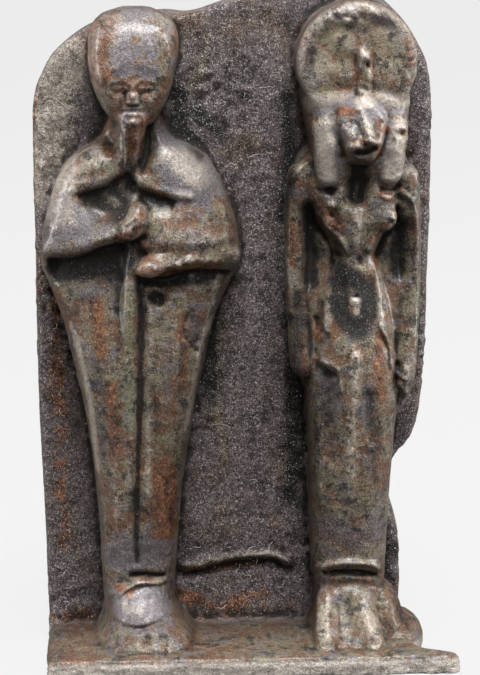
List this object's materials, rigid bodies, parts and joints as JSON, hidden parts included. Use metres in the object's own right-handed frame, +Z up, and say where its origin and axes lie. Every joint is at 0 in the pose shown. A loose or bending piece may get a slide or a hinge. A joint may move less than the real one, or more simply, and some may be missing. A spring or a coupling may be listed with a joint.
{
  "type": "bronze dyad statuette",
  "caption": "Small cast bronze votive group: a mummy-shaped bearded god with a staff and a lioness-headed goddess in high relief on one back slab and a thin plinth.",
  "frame": {"origin": "centre of the flat underside", "axes": "+Z up, figures face -Y, +X to the viewer's right"},
  "size_m": [0.0343, 0.0135, 0.0552],
  "materials": {
    "patinated_bronze": "dark brown and grey-violet patina, worn paler on the ridges, with red and olive corrosion in the hollows"
  },
  "bodies": {
    "root": {"dyad_casting": "patinated_bronze"}
  },
  "joints": []
}
